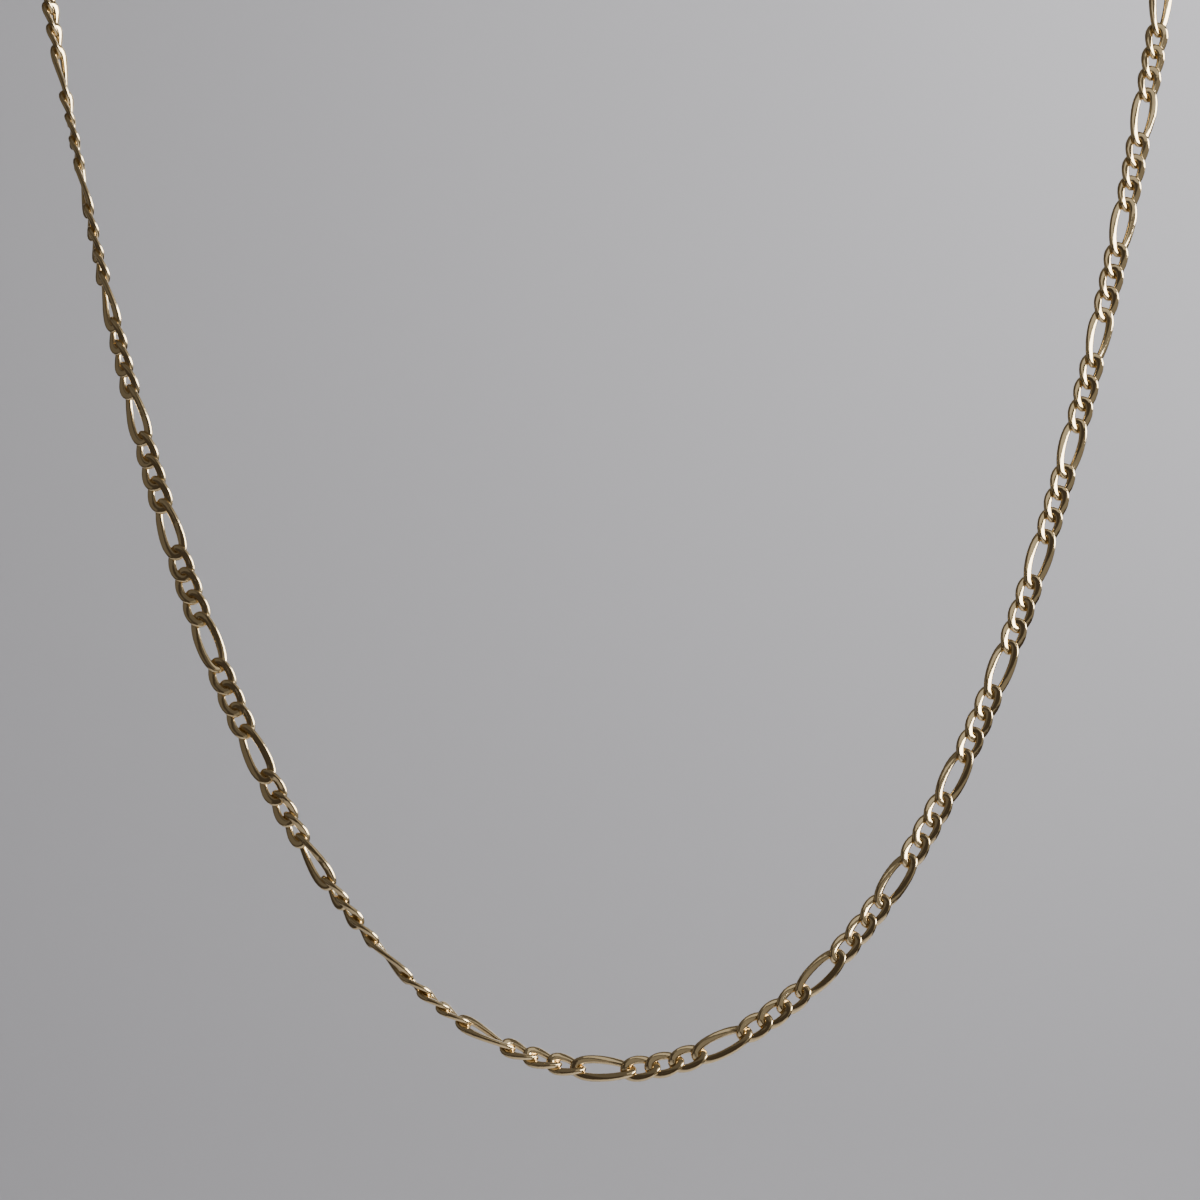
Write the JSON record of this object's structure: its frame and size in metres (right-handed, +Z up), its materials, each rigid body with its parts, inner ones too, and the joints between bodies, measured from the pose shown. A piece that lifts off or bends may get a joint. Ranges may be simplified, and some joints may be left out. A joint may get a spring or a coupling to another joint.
{
  "type": "figaro chain necklace",
  "caption": "Yellow gold curb-style neck chain with short and long oval links in turn, flat-filed faces and a plain closed barrel clasp, held as it hangs.",
  "frame": {"origin": "middle of the neck hollow, level with the nape, where the loop is held", "axes": "+Z up, +X to the viewer's right, -Y the side that faces the viewer"},
  "size_m": [0.1262, 0.0549, 0.1463],
  "materials": {
    "chain_gold": "polished yellow gold wire with flat filed facets",
    "clasp_gold": "polished yellow gold, plain"
  },
  "bodies": {
    "root": {"chain_right": "chain_gold", "chain_left": "chain_gold", "clasp": "clasp_gold"}
  },
  "joints": []
}
